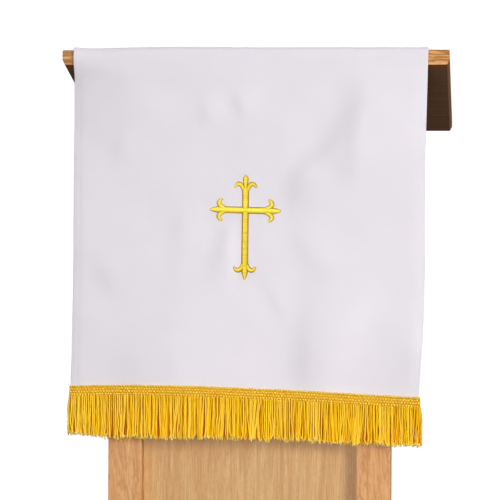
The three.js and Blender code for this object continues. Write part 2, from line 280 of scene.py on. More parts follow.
def cross_flatness(x, drop):
    """How far the folds reach in beside the stiff embroidery: least over its two bars."""
    aside = np.abs(x - CROSS_X)
    along_foot = np.maximum(CROSS_DROP - CROSS_TOP_ARM - drop, drop - CROSS_DROP - CROSS_FOOT)
    from_upright = np.maximum(aside - CROSS_HALF_BAR, along_foot)
    from_crossbar = np.maximum(aside - CROSS_SIDE_ARM, np.abs(drop - CROSS_DROP) - CROSS_HALF_BAR)
    away = smoothstep(np.minimum(from_upright, from_crossbar), CROSS_FLAT_MARGIN, CROSS_FLAT_FADE)
    return CROSS_FOLDS_KEPT + (1 - CROSS_FOLDS_KEPT) * away


def fold_height(x, drop):
    """How far the folds and curls bring the hanging cloth forward."""
    height = undulation(x, drop)
    for fold in FOLDS:
        lean = math.radians(fold["lean"])
        dx = x - fold["x"]
        dd = drop - fold["drop"]
        lengthwise = (dx * math.sin(lean) + dd * math.cos(lean)) / fold["half_length"]
        across = dx * math.cos(lean) - dd * math.sin(lean)
        across = across / np.where(across < 0, fold["steep"], fold["gentle"])
        height = height + fold["rise"] * np.exp(-lengthwise ** 2 - across ** 2)
    corner = CORNER_CURL * smoothstep(x, CURL_START["x"], CURL_END["x"]) ** 2
    corner = corner * smoothstep(drop, CURL_START["drop"], CURL_END["drop"])
    from_side = np.minimum(x - left_edge(drop), right_edge(drop) - x)
    sides = SIDE_CURL * (1 - smoothstep(from_side, 0, SIDE_CURL_WIDTH)) ** 2
    shown = smoothstep(drop, FOLDS_START, FOLDS_FULL)
    return (height * cross_flatness(x, drop) - corner - sides) * shown


def on_cloth(x, run, height):
    """Points of the cloth: x, the run along it and the height above its middle surface."""
    x, run, height = np.broadcast_arrays(*(np.asarray(v, float) for v in (x, run, height)))
    point, outward = path_at(run)
    turning = smoothstep(run, -LIFT_LENGTH, 0) * (1 - smoothstep(run, UPPER_TURN, EDGE_LIFT_END))
    lift = height + value_in(EDGE_LIFT, "x", "lift", x) * turning
    lift = lift + np.where(run > 0, fold_height(x, DESK_EDGE_HEIGHT - point[..., 1]), 0)
    lying = smoothstep(-run, 0, DESK_WAVES_FULL)
    waves = undulation(x, run, DESK_WAVE_HEIGHT) ** 2
    lift = lift + DESK_WAVE_SHARE * lying * waves.clip(0, DESK_WAVE_MOST)
    placed = point + lift[..., None] * outward
    return np.concatenate([x[..., None], placed], axis=-1)


def hanging(x, drop, height):
    return on_cloth(x, HANG_START + np.asarray(drop, float) - HANG_TOP, height)


# Meshes

def new_object(name, data):
    made = bpy.data.objects.new(name, data)
    bpy.context.scene.collection.objects.link(made)
    return made


def piece(name, shape, material):
    """A smooth-shaded mesh object that rides on the one body. shape has points in millimetres,
    faces, flat coordinates of their corners and, for thread, a tone for each point."""
    mesh = bpy.data.meshes.new(name)
    mesh.from_pydata((shape["points"] * MM).tolist(), [], shape["faces"])
    mesh.polygons.foreach_set("use_smooth", np.ones(len(mesh.polygons), bool))
    layer = mesh.uv_layers.new(name="flat")
    layer.data.foreach_set("uv", shape["uvs"].astype(np.float32).ravel())
    if "tone" in shape:
        attribute = mesh.attributes.new("tone", "FLOAT", "POINT")
        attribute.data.foreach_set("value", shape["tone"].astype(np.float32))
    mesh.materials.append(material)
    mesh.update()
    made = new_object(name, mesh)
    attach(made, "root")
    return made


def closed_sheet(front, back, flat):
    """A sheet between two grids of points, with walls all round. Columns run towards +X and
    rows down the front, and flat has each point's coordinates on the cloth laid flat."""
    rows, columns = front.shape[:2]
    count = rows * columns
    index = np.arange(count).reshape(rows, columns)
    grid = np.stack([index[:-1, :-1], index[1:, :-1], index[1:, 1:], index[:-1, 1:]], -1).reshape(-1, 4)
    rim = np.concatenate([index[:, 0], index[-1, 1:], index[-2::-1, -1], index[0, -2:0:-1]])
    after = np.roll(rim, -1)
    walls = np.stack([rim, rim + count, after + count, after], -1)
    faces = np.concatenate([grid, grid[:, ::-1] + count, walls])
    points = np.concatenate([front.reshape(-1, 3), back.reshape(-1, 3)])
    corners = np.concatenate([flat.reshape(-1, 2)] * 2)[faces.ravel()]
    return {"points": points, "faces": faces.tolist(), "uvs": corners}


def tubes(paths, radii, sides, reference, tones=1.0):
    """Closed tubes round many paths at once. paths is (count, steps, 3), radii and tones
    fit (count, steps), and reference is a direction that no path runs along."""
    count, steps, _ = paths.shape
    radii = np.broadcast_to(radii, (count, steps))
    tangent = np.gradient(paths, axis=1)
    tangent /= np.linalg.norm(tangent, axis=-1, keepdims=True)
    across = np.cross(tangent, np.asarray(reference, float))
    across /= np.linalg.norm(across, axis=-1, keepdims=True)
    second = np.cross(across, tangent)
    turn = np.arange(sides) * 2 * math.pi / sides
    ring = across[:, :, None] * np.cos(turn)[:, None] + second[:, :, None] * np.sin(turn)[:, None]
    points = paths[:, :, None] + radii[:, :, None, None] * ring
    index = np.arange(count * steps * sides).reshape(count, steps, sides)
    beside = np.roll(index, -1, axis=2)
    quads = np.stack([index[:, :-1], index[:, 1:], beside[:, 1:], beside[:, :-1]], -1)
    caps = np.concatenate([index[:, 0], index[:, -1, ::-1]])
    lengths = np.cumsum(np.linalg.norm(np.diff(paths, axis=1), axis=-1), axis=1)
    lengths = np.concatenate([np.zeros((count, 1)), lengths], axis=1)
    low = lengths[:, :-1, None] + np.zeros(sides)
    high = lengths[:, 1:, None] + np.zeros(sides)
    narrow = np.zeros_like(low) + np.arange(sides) / sides
    wide = narrow + 1 / sides
    corners = [(narrow, low), (narrow, high), (wide, high), (wide, low)]
    uvs = np.stack([np.stack(corner, -1) for corner in corners], -2)
    uvs = np.concatenate([uvs.reshape(-1, 2), np.zeros((caps.size, 2))])
    tones = np.broadcast_to(np.asarray(tones, float), (count, steps))
    return {"points": points.reshape(-1, 3), "faces": quads.reshape(-1, 4).tolist() + caps.tolist(),
            "uvs": uvs, "tone": np.repeat(tones.ravel(), sides)}


def joined(parts):
    """Several shapes as one."""
    faces, offset = [], 0
    for part in parts:
        faces += [[corner + offset for corner in face] for face in part["faces"]]
        offset += len(part["points"])
    shape = {key: np.concatenate([part[key] for part in parts]) for key in ("points", "uvs", "tone")}
    return {**shape, "faces": faces}


# Materials

def new_material(name, **values):
    material = bpy.data.materials.new(name)
    material.use_nodes = True
    shader = material.node_tree.nodes["Principled BSDF"]
    for key, value in values.items():
        shader.inputs[key.replace("_", " ")].default_value = value
    return material


def add(material, kind, inputs=None, **settings):
    """Adds a node to a material or the world. An input is a value, or a node's output to link."""
    node = material.node_tree.nodes.new(kind)
    for key, value in settings.items():
        setattr(node, key, value)
    for key, value in (inputs or {}).items():
        if isinstance(value, bpy.types.NodeSocket):
            material.node_tree.links.new(value, node.inputs[key])
        else:
            node.inputs[key].default_value = value
    return node


def maths(material, operation, *values):
    node = add(material, "ShaderNodeMath", dict(enumerate(values)), operation=operation)
    return node.outputs[0]


def to_shader(material, **links):
    shader = material.node_tree.nodes["Principled BSDF"]
    for key, output in links.items():
        material.node_tree.links.new(output, shader.inputs[key.replace("_", " ")])


def blend_colours(material, factor, low, high):
    """The colour sockets of this node are its seventh and eighth, and its third output."""
    return add(material, "ShaderNodeMix", {0: factor, 6: low, 7: high}, data_type="RGBA").outputs[2]


def bump(material, height, distance, strength=1.0, normal=None):
    inputs = {"Height": height, "Distance": distance, "Strength": strength}
    if normal is not None:
        inputs["Normal"] = normal
    return add(material, "ShaderNodeBump", inputs).outputs["Normal"]


def vector_maths(material, operation, *values):
    node = add(material, "ShaderNodeVectorMath", dict(enumerate(values)), operation=operation)
    return node.outputs["Value" if operation in ("DOT_PRODUCT", "LENGTH") else "Vector"]


def separated(material, place):
    return add(material, "ShaderNodeSeparateXYZ", {0: place}).outputs


def scaled(material, place, scale):
    return add(material, "ShaderNodeMapping", {"Vector": place, "Scale": scale}).outputs[0]


def noise(material, place, detail=2.0, **settings):
    inputs = {"Vector": place, "Scale": 1.0, "Detail": detail, **settings}
    return add(material, "ShaderNodeTexNoise", inputs).outputs["Fac"]


def ramp(material, value, low, high, most=1.0):
    """A share from 0 to most as a value goes from low to high."""
    inputs = {"Value": value, "From Min": low, "From Max": high, "To Max": most}
    return add(material, "ShaderNodeMapRange", inputs).outputs[0]


def cloth_material():
    """White plain weave, a little lilac, with uneven threads."""
    weave_pitch = 0.55
    weave_depth = 0.05
    slub_depth = 0.08
    slub_scales = ((2.2, 0.12, 1), (0.12, 2.2, 1))
    material = new_material("white_cloth", Roughness=0.9, Specular_IOR_Level=0.15)
    flat = add(material, "ShaderNodeUVMap", uv_map="flat").outputs[0]
    turns = [maths(material, "MULTIPLY", part, 2 * math.pi / weave_pitch)
             for part in separated(material, flat)[:2]]
    weave = maths(material, "MULTIPLY", *(maths(material, "SINE", turn) for turn in turns))
    slubs = [noise(material, scaled(material, flat, scale)) for scale in slub_scales]
    normal = bump(material, maths(material, "ADD", *slubs), slub_depth * MM, 0.5)
    normal = bump(material, weave, weave_depth * MM, 0.6, normal)
    soft = noise(material, flat, 3.0, Scale=0.02)
    colour = blend_colours(material, soft, linear(224, 219, 226), linear(229, 224, 230))
    to_shader(material, Base_Color=colour, Normal=normal)
    return material


def thread_material(name, colours, roughness, gloss, twist_pitch, twist_depth):
    """Shiny twisted thread. Its tone runs from dark to light gold, and past 1 to a pale colour: a
    strand's pale tip, and a painted highlight on bead crowns and paler satin.
    """
    plies = 2
    groove_shade = 0.1
    material = new_material(name, Roughness=roughness, Specular_IOR_Level=gloss,
                            Specular_Tint=linear(255, 206, 60), Sheen_Weight=0.15,
                            Sheen_Tint=linear(255, 206, 70), Sheen_Roughness=0.4)
    tone = add(material, "ShaderNodeAttribute", attribute_name="tone").outputs["Fac"]
    flat = add(material, "ShaderNodeUVMap", uv_map="flat").outputs[0]
    parts = separated(material, flat)
    along = maths(material, "MULTIPLY", parts[1], 2 * math.pi / twist_pitch)
    round_it = maths(material, "MULTIPLY", parts[0], 2 * math.pi * plies)
    twist = maths(material, "SINE", maths(material, "ADD", along, round_it))
    colour = blend_colours(material, tone, colours["dark"], colours["light"])
    tip = maths(material, "SUBTRACT", tone, 1.0)
    colour = blend_colours(material, tip, colour, colours["tip"])
    # Painted shade in the twist's grooves.
    shade = maths(material, "MULTIPLY_ADD", twist, groove_shade, groove_shade)
    colour = blend_colours(material, shade, colour, colours["dark"])
    to_shader(material, Base_Color=colour, Normal=bump(material, twist, twist_depth * MM, 0.8))
    return material


def grain_noise(material, place, grain, wide, long, detail=3.0, **settings):
    """Noise whose patches measure about these millimetres across and along the grain."""
    scale = tuple(1 / ((long if axis == grain else wide) * MM) for axis in "XYZ")
    return noise(material, scaled(material, place, scale), detail, **settings)


def glued_strips(material, place, grain, strips):
    """Coordinates that jump and lean anew in each glued strip, and a random tone of each."""
    parts = separated(material, place)
    axis = "XYZ".index(strips["across"])
    along = "XYZ".index(grain)
    count = maths(material, "DIVIDE", parts[axis], strips["width"] * MM)
    strip = maths(material, "FLOOR", maths(material, "ADD", count, strips["offset"]))
    chance = add(material, "ShaderNodeTexWhiteNoise", {"W": strip}, noise_dimensions="1D").outputs
    centred = maths(material, "SUBTRACT", chance["Value"], 0.5)
    lean = maths(material, "MULTIPLY", centred, strips["slant"])
    leaning = maths(material, "MULTIPLY", parts[along], lean)
    sheared = add(material, "ShaderNodeCombineXYZ", {axis: leaning}).outputs[0]
    slide = [0.0, 0.0, 0.0]
    slide[along] = STRIP_JUMP
    jump = vector_maths(material, "MULTIPLY", chance["Color"], slide)
    moved = vector_maths(material, "ADD", place, jump)
    return vector_maths(material, "ADD", moved, sheared), chance["Value"]


def desk_painted_shade(material, colour, streaks, colours):
    """Painted shade under the desk board and round the lower edges of its ends: a dark colour that
    stands in for the shadow there, streaked like the wood and redder near the high edge.
    """
    coordinates = add(material, "ShaderNodeTexCoord").outputs
    facing = coordinates["Normal"]
    below = vector_maths(material, "DOT_PRODUCT", facing, (0, -OUT[0], -OUT[1]))
    sideways = maths(material, "ABSOLUTE", separated(material, facing)[0])
    lower_end = ramp(material, below, 0.2, 0.35, most=0.85)
    end = maths(material, "MULTIPLY", ramp(material, sideways, 0.7, 0.85), lower_end)
    painted_shade = maths(material, "MAXIMUM", ramp(material, below, 0.9, 0.97), end)
    streaked = ramp(material, streaks, 0.35, 0.7)
    painted_shade_colour = blend_colours(material, streaked, colours["painted_shade_colour"], colours["painted_shade_streak"])
    y = separated(material, coordinates["Object"])[1]
    near_edge = ramp(material, y, PAINTED_SHADE_EDGE_END * MM, DESK_EDGE_Y * MM)
    painted_shade_colour = blend_colours(material, near_edge, painted_shade_colour, colours["painted_shade_edge"])
    to_shader(material, Roughness=maths(material, "MULTIPLY_ADD", painted_shade, 0.5, 0.45))
    return blend_colours(material, painted_shade, colour, painted_shade_colour)


def wood_material(name, grain, colours, strips=None, figure=0.6, streak=0.6, length=1, gloss=0.25,
                  painted_shade=False):
    """Satin lacquered light hardwood. grain is the axis that it runs along. strips names the
    axis across its glued strips, their width, and how much each one's grain leans. figure and
    streak are the strengths of its growth rings and dark streaks, and length stretches its
    streaks and fibres."""
    material = new_material(name, Roughness=0.42, Specular_IOR_Level=gloss)
    place = add(material, "ShaderNodeTexCoord").outputs["Object"]
    if strips:
        place, strip_tone = glued_strips(material, place, grain, strips)
    broad = grain_noise(material, place, grain, wide=18, long=150, Distortion=1.2)
    rings = maths(material, "SINE", maths(material, "MULTIPLY", broad, RING_TURNS))
    streaks = grain_noise(material, place, grain, wide=3.6, long=90 * length)
    fibres = grain_noise(material, place, grain, wide=1.0, long=26 * length, detail=2.0)
    flecks = grain_noise(material, place, grain, wide=1.5, long=7, detail=1.0)
    fleck_share = ramp(material, flecks, 0.56, 0.68, most=0.22)
    layers = [
        ("warm", ramp(material, broad, 0.35, 0.65)),
        ("dark", ramp(material, rings, 0.1, 1.0, most=figure)),
        ("dark", ramp(material, streaks, 0.48, 0.7, most=streak)),
        ("dark", ramp(material, fibres, 0.45, 0.65, most=0.5)),
    ]
    if strips:
        layers.append(("warm", maths(material, "MULTIPLY", strip_tone, 0.6)))
    layers.append(("pore", fleck_share))
    colour = colours["light"]
    for shade, share in layers:
        colour = blend_colours(material, share, colour, colours[shade])
    # Painted shade: the board's underside and its ends' lower edges are coloured dark in place of the
    # shadow there.
    if painted_shade:
        colour = desk_painted_shade(material, colour, streaks, colours)
    relief = maths(material, "SUBTRACT", maths(material, "MULTIPLY", fibres, 0.5), fleck_share)
    to_shader(material, Base_Color=colour, Normal=bump(material, relief, PORE_DEPTH * MM, 0.6))
    return material


# The scarf

LYING_ROWS = 64
REAR_HEM_ROWS = 16
LIFT_ROWS = 10
TURN_ROWS = 22
HANGING_ROWS = 131
HEM_COLUMNS = 15
COLUMN_STEP = 3.1
PAST_HEM = 2                   # the close rows or columns go on this far past a hem
PAST_REAR_HEM = 4
STITCH_TAPER = (0.5, 1, 1, 1, 0.5)
THIN_SIDES = 5                 # of the tubes of stitches and thin cords
ROUND_SIDES = 6                # of those of satin threads, beads and strands


def graded(width, fine_width, fine_count, coarse_step):
    """Places from 0 to width, close together at both ends."""
    fine = np.linspace(0, fine_width, fine_count)
    middle = np.linspace(fine_width, width / 2, int((width / 2 - fine_width) / coarse_step) + 1)
    half = np.concatenate([fine, middle[1:]])
    return np.concatenate([half, width - half[-2::-1]])


def rounded_edge(from_edge):
    """Share of the cloth's thickness beside an edge, where it is folded round."""
    return np.sqrt(1 - (1 - np.clip(from_edge / CLOTH_THICKNESS, 0, 1)) ** 2)


def hem_profile(from_edge, width):
    """A turned hem's rounded fold, its extra thickness and its stitch groove."""
    extra = HEM_EXTRA * (1 - smoothstep(from_edge, width + HEM_STEP[0], width + HEM_STEP[1]))
    groove = STITCH_GROOVE * np.exp(-((from_edge - width + STITCH_INSET) / GROOVE_WIDTH) ** 2)
    return rounded_edge(from_edge), extra, groove


def sheet_runs():
    """Runs of the cloth's rows down to the start of the hanging part."""
    hem = -CLOTH_ON_DESK + np.linspace(0, REAR_HEM_WIDTH + PAST_REAR_HEM, REAR_HEM_ROWS)
    lying = np.linspace(-CLOTH_ON_DESK, -LIFT_LENGTH, LYING_ROWS)
    lying = lying[lying > hem[-1] + 1]
    return np.concatenate([hem, lying, np.linspace(-LIFT_LENGTH, 0, LIFT_ROWS)[1:],
                           np.linspace(0, HANG_START, TURN_ROWS)[1:]])


def cloth_grid(share):
    """x and run of every point of the cloth's grid, and each column's x on the flat cloth."""
    runs = sheet_runs()
    drop_share = np.linspace(0, 1, HANGING_ROWS)[1:]
    widest = LEFT_EDGE[0]["x"] + share * (RIGHT_EDGE[0]["x"] - LEFT_EDGE[0]["x"])
    hem = value_in(HEADING_TOP, "x", "drop", widest) + HEADING_OVERLAP
    drop = HANG_TOP + drop_share[:, None] * (hem - HANG_TOP)
    hanging_x = left_edge(drop) + share * (right_edge(drop) - left_edge(drop))
    x = np.concatenate([np.tile(widest, (len(runs), 1)), hanging_x])
    run = np.concatenate([np.tile(runs[:, None], (1, len(share))), HANG_START + drop - HANG_TOP])
    return x, run, widest


def scarf_cloth(material):
    width = RIGHT_EDGE[0]["x"] - LEFT_EDGE[0]["x"]
    places = graded(width, HEM_WIDTH + PAST_HEM, HEM_COLUMNS, COLUMN_STEP)
    x, run, widest = cloth_grid(places / width)
    side_fold, side_extra, side_groove = hem_profile(np.minimum(places, width - places), HEM_WIDTH)
    end_fold, end_extra, end_groove = hem_profile(run + CLOTH_ON_DESK, REAR_HEM_WIDTH)
    fold = side_fold * end_fold * rounded_edge(run[-1] - run)
    extra = np.maximum(side_extra[None], end_extra)
    groove = side_groove[None] * (extra > 0) + end_groove
    lying = 1 - smoothstep(run, -LIFT_LENGTH, UPPER_TURN)
    proud = HEM_PROUD + (1 - HEM_PROUD) * lying
    front = on_cloth(x, run, fold * (CLOTH_THICKNESS / 2 + extra * proud) - groove * fold)
    back = on_cloth(x, run, -fold * (CLOTH_THICKNESS / 2 + extra * (1 - proud)))
    flat = np.stack(np.broadcast_arrays(widest[None], run), -1)
    made = piece("scarf", closed_sheet(front, back, flat), material)
    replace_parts(made, "scarf_cloth")
    return made, float(run.max() + CLOTH_ON_DESK), width


def hem_stitches(material):
    """White stitches along the side hems and the rear hem, in their groove."""
    inset = HEM_WIDTH - STITCH_INSET
    rear_inset = REAR_HEM_WIDTH - STITCH_INSET
    longest = HANG_START + HEADING_TOP[0]["drop"] - HANG_TOP
    starts = np.arange(-CLOTH_ON_DESK + rear_inset, longest - STITCH_PITCH, STITCH_PITCH)
    dash = np.linspace(0, STITCH_LENGTH, len(STITCH_TAPER))
    run = starts[:, None] + dash
    drop = np.where(run > HANG_START, run - HANG_START + HANG_TOP, 0)
    arc = STITCH_RADIUS * np.sin(np.pi * dash / STITCH_LENGTH)
    rise = CLOTH_THICKNESS / 2 + HEM_EXTRA * HEM_PROUD - STITCH_GROOVE + STITCH_LIFT + arc
    left = on_cloth(left_edge(drop) + inset, run, rise)
    right = on_cloth(right_edge(drop) - inset, run, rise)
    across = np.arange(LEFT_EDGE[0]["x"] + inset, RIGHT_EDGE[0]["x"] - inset, STITCH_PITCH)
    rear = on_cloth(across[:, None] + dash, -CLOTH_ON_DESK + rear_inset, rise[0] + REAR_STITCH_LIFT)
    radius = STITCH_RADIUS * np.array(STITCH_TAPER)
    along = tubes(np.concatenate([left, right]), radius, THIN_SIDES, (1, 0, 0))
    sideways = tubes(rear, radius, THIN_SIDES, (0, 0, 1))
    return piece("hem_stitches", joined([along, sideways]), material)


# The embroidered cross

PETAL = table(
    ("across", "back", "half"),
    (2.4, 27, 1.4),
    (3.4, 21.5, 2.1),
    (6, 16, 2.8),
    (9.9, 13.7, 2.8),
    (13.6, 15.4, 2),
    (16.6, 20, 0.3),
)
SLIM_BUD = table(
    ("back", "half"),
    (22, 1.4),
    (14.5, 2.6),
    (9.5, 3.3),
    (5.5, 3.6),
    (2, 1.9),
    (0, 0.3),
)
BROAD_BUD = table(
    ("back", "half"),
    (24, 2),
    (17, 3.7),
    (11, 4.1),
    (5.5, 2.8),
    (2, 1.3),
    (0, 0.3),
)
# tone: the side arms are painted paler, past 1 toward the pale colour, and the upright darker, as
# painted sheen of how their threads catch the light.
CROSS_ARMS = table(
    ("length", "turn", "bud", "tone"),
    (CROSS_SIDE_ARM, CROSS_TILT_ACROSS - math.pi / 2, BROAD_BUD, 1.15),
    (CROSS_TOP_ARM, CROSS_TILT_UP, SLIM_BUD, 0.95),
    (CROSS_SIDE_ARM, CROSS_TILT_ACROSS + math.pi / 2, BROAD_BUD, 1.15),
    (CROSS_FOOT, CROSS_TILT_UP + math.pi, BROAD_BUD, 0.88),
)
STEM_END = 21                  # the straight bar ends this far back from the tip
# The satin's pale colour is a painted highlight on its paler threads.
SATIN_GOLD = {"dark": linear(168, 108, 4), "light": linear(255, 243, 84), "tip": linear(255, 248, 160)}
THREAD_PITCH = 0.42
THREAD_RADIUS = 0.25
THREAD_STEPS = 9
THREAD_UNEVEN = 0.03
THREAD_TONE_SPREAD = 0.1
SATIN_CROWN = 0.5              # rise of the padded middle, as a share of the half width
SATIN_EDGE = 1.02              # a little over 1, which keeps the threads' ends off the cloth
SATIN_BASE = 0.3
# Painted shade: the satin's tone falls by this much towards the edges of each column, where its threads
# dive to the cloth.
SATIN_EDGE_SHADE = 1.1
CHEVRON = 0.15                 # how far each half of a stitch leans along its column
PETAL_LEVEL = 0.1              # the columns start at these heights over the cloth
STEM_LEVEL = 0.2
BUD_LEVEL = 0.3
PADDING_SHARES = (-0.7, -0.35, 0, 0.35, 0.7)
PADDING_RADIUS = 0.55
PADDING_TONE = 0.1
PADDING_EVERY = 4              # its cords are bent at each fourth stitch
OUTLINE_RADIUS = 0.32          # of the dark cord along each column's edges: an outline, which also stands in as painted shade where the satin meets the cloth
OUTLINE_EVERY = 3
CORD_REFERENCE = (0, 1, 0.02)
THREAD_REFERENCE = (0, -1, 0.02)


def curve_through(rows, step):
    """Evenly spaced places and half widths on a smooth line through a table's rows."""
    knots = np.array([[row.get("across", 0), row["back"], row["half"]] for row in rows], float)
    before = 2 * knots[0] - knots[1]
    beyond = 2 * knots[-1] - knots[-2]
    padded = np.vstack([before, knots, beyond])
    t = np.linspace(0, 1, 24, endpoint=False)[:, None]
    dense = []
    for a, b, c, d in zip(padded, padded[1:], padded[2:], padded[3:]):
        dense.append(0.5 * (2 * b + (c - a) * t + (2 * a - 5 * b + 4 * c - d) * t ** 2
                            + (3 * b - a - 3 * c + d) * t ** 3))
    dense = np.vstack([*dense, knots[-1:]])
    gone = np.concatenate([[0], np.cumsum(np.linalg.norm(np.diff(dense[:, :2], axis=0), axis=1))])
    at = np.arange(0, gone[-1], step)
    return np.stack([np.interp(at, gone, dense[:, i]) for i in range(3)], -1)


def stem(length):
    """Places on an arm's straight bar, from the crossing, where its end is mitred."""
    at = np.arange(THREAD_PITCH / 2, length - STEM_END, THREAD_PITCH)
    return np.stack([np.zeros_like(at), length - at, np.minimum(at, CROSS_HALF_BAR)], -1)


def stitched(line, shares, arm, level):
    """Places x, drop and height across a padded column, for each place of its line. line
    has across, back and half width, and shares run from -1 to 1 across the column."""
    places = line[:, None, :2]
    tangent = np.gradient(line[:, :2], axis=0)
    tangent /= np.linalg.norm(tangent, axis=1, keepdims=True)
    side = np.stack([tangent[:, 1], -tangent[:, 0]], -1)
    half = line[:, 2][:, None]
    share = np.asarray(shares, float)[None]
    flat = places + (half * share)[..., None] * side[:, None]
    flat = flat - CHEVRON * (half * np.abs(share))[..., None] * tangent[:, None]
    rise = level + SATIN_CROWN * half * np.sqrt(SATIN_EDGE - share ** 2)
    across = flat[..., 0]
    up = arm["length"] - flat[..., 1]
    cosine, sine = math.cos(arm["turn"]), math.sin(arm["turn"])
    x = CROSS_X + across * cosine - up * sine
    drop = CROSS_DROP - across * sine - up * cosine
    return np.stack([x, drop, rise], -1)


def cross_columns():
    """The columns of stitches: their line, arm and level over the cloth."""
    petal = curve_through(PETAL, THREAD_PITCH)
    for arm in CROSS_ARMS:
        yield petal, arm, PETAL_LEVEL
        yield petal * np.array([-1, 1, 1]), arm, PETAL_LEVEL
        yield stem(arm["length"]), arm, STEM_LEVEL
        yield curve_through(arm["bud"], THREAD_PITCH), arm, BUD_LEVEL


def sewn_cords(places, height, radii, tone):
    """Cords along a column, one for each of its shares, at a height over the cloth's middle."""
    paths = hanging(places[..., 0].T, places[..., 1].T, np.transpose(height))
    return tubes(paths, radii, THIN_SIDES, CORD_REFERENCE, tone)


def cross_embroidery(material):
    draw = np.random.default_rng(CROSS_SEED)
    shares = np.linspace(-1, 1, THREAD_STEPS)
    edge_shade = SATIN_EDGE_SHADE * np.abs(shares) ** 3
    seat = CLOTH_THICKNESS / 2
    parts, stitches, tones = [], [], []
    for line, arm, level in cross_columns():
        stitches.append(stitched(line, shares, arm, level + SATIN_BASE))
        tones.append(draw.normal(arm["tone"], THREAD_TONE_SPREAD, (len(line), 1)) - edge_shade)
        padded = line[::PADDING_EVERY]
        cords = stitched(padded, PADDING_SHARES, arm, level + SATIN_BASE - PADDING_RADIUS)
        radii = PADDING_RADIUS * np.clip(padded[:, 2] / 2, 0.2, 1)
        parts.append(sewn_cords(cords, cords[..., 2] + seat, radii, PADDING_TONE))
        outline = stitched(line[::OUTLINE_EVERY] + (0, 0, OUTLINE_RADIUS), (-1, 1), arm, level)
        parts.append(sewn_cords(outline, seat + OUTLINE_RADIUS, OUTLINE_RADIUS, 0))
    places = np.concatenate(stitches)
    places[..., 1] += draw.normal(0, THREAD_UNEVEN, (len(places), 1))
    paths = hanging(places[..., 0], places[..., 1], places[..., 2] + seat)
    tones = np.clip(np.concatenate(tones), 0, 1.4)
    parts.append(tubes(paths, THREAD_RADIUS, ROUND_SIDES, THREAD_REFERENCE, tones))
    cross = piece("cross_stitches", joined(parts), material)
    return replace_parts(cross, "cross_embroidery")


# The fringe

CORD_GOLD = {"dark": linear(210, 94, 2), "light": linear(255, 209, 14), "tip": linear(255, 244, 160)}
HEADING_DROP = 505             # where the heading's width is measured
STRANDS_DROP = 520             # and the strands'
HEADING_SEAT = CLOTH_THICKNESS / 2 + 0.5
TAPE_HEIGHTS = (1.0, -0.3)     # of its front and its back over that seat
TAPE_ROWS = (0.2, 8, HEADING_HEIGHT - 0.5)
TAPE_TONE = 0.8
BEAD_ROWS = 4
BEAD_ROW_START = 0.8
BEAD_ROW_STEP = 4
BEAD_ROW_WAVE = {"height": 0.15, "turn": 61, "next_row": 1.7}
BEAD_PITCH = 4.2
BEAD_STEPS = 8
BEAD_RADIUS = 1.9
BEAD_SIZES = (0.86, 1.06)
BEAD_WAIST = 0.12              # narrowest part of a bead, as a share of its radius
BEAD_HEIGHT = 1.3              # over the seat at its waist
BEAD_CROWN = 0.5               # more than that at its middle
# Painted highlight: a bead's tone rises toward the pale colour at its crown.
BEAD_TONE = {"waist": 0.9, "crown_highlight": 0.9, "size": 2, "most": 1.3}
STRAND_STEPS = 22
# tone: the back layer is painted dark and the middle one a little darker than the front, as painted
# shade in the gaps between the strands.
STRAND_LAYERS = table(
    ("name", "pitch", "radius", "depth", "tone", "gather", "stray", "flare_from"),
    ("fringe_front", 3.1, 1.2, 2.1, 1.08, 0.5, 1, 0.982),
    ("fringe_middle", 2.8, 1.15, -0.3, 0.95, 0.35, 0.8, 0.97),
    ("fringe_back", 2.0, 1.2, -2.6, 0, 0, 0.25, 0.95),
)
SHARE_LIMITS = (0.002, 0.998)  # the outermost strands stay on the heading
FLARE = 2.8                    # and stand out this far at each end
FLARE_DOWN = (-0.1, 0.35)
STRAND_OVERLAP = 1.5           # of the strands' tops behind the heading's lower edge
STRAND_SEAT = CLOTH_THICKNESS / 2 + 1.5
GROUP_CHANCE = 0.42            # that a strand begins a new group
GROUP_PULL = (0.2, 1.6)        # a group's own share of its layer's gather
GATHER_CURVE = 1.3
TOP_SWAY = 0.2                 # of a strand's sway, at its top
ON_CLOTH = 6                   # a strand follows the cloth's surface this far down
END_RAISE = 0.6                # mean rise of the ends over their table's line
SLOW_WAVE = (2, 7)             # least and most turn down a strand, in radians
FAST_WAVE = (10, 17)
WAVE_PHASE = (0, 6)
TIP_START = 0.9
PALE_TIP_START = 0.94
TIP_FORWARD = 0.5
STRAND_SIZES = (0.82, 1.12)
STRAND_RIPPLE = {"share": 0.07, "turn": 40}
TIP_SWELL = 0.12
TIP_CLOSED = {"from": 0.99, "share": 0.6}
STRAND_TONE_MOST = 1.15
# Spreads of random amounts: a strand's place as a share of the pitch, its tone, and the others
# in millimetres
SPREAD = {
    "place": 0.18, "tone": 0.24, "end": 1.0, "group_end": 1.1, "group_swing": 0.9, "slow_sway": 0.65,
    "fast_sway": 0.4, "tip_swing": 2.1, "depth": 0.3, "depth_drift": 0.8, "depth_wave": 0.35,
    "tip_depth": 0.8,
}


def fringe_x(share, drop):
    left = left_edge(drop) - HEADING_PROUD
    right = right_edge(drop) + HEADING_PROUD
    return left + share * (right - left)


def heading_top_at(share):
    return value_in(HEADING_TOP, "x", "drop", fringe_x(share, HEADING_TOP[0]["drop"]))


def fringe_width(drop):
    return float(fringe_x(1, drop) - fringe_x(0, drop))


def heading_tape():
    """The flat woven tape that the beads are worked on."""
    share = np.linspace(0, 1, 181)
    drop = heading_top_at(share) + np.array(TAPE_ROWS)[:, None]
    x = fringe_x(share, drop)
    front, back = (hanging(x, drop, HEADING_SEAT + height) for height in TAPE_HEIGHTS)
    tape = closed_sheet(front, back, np.stack([x, drop], -1))
    return {**tape, "tone": np.full(len(tape["points"]), TAPE_TONE)}


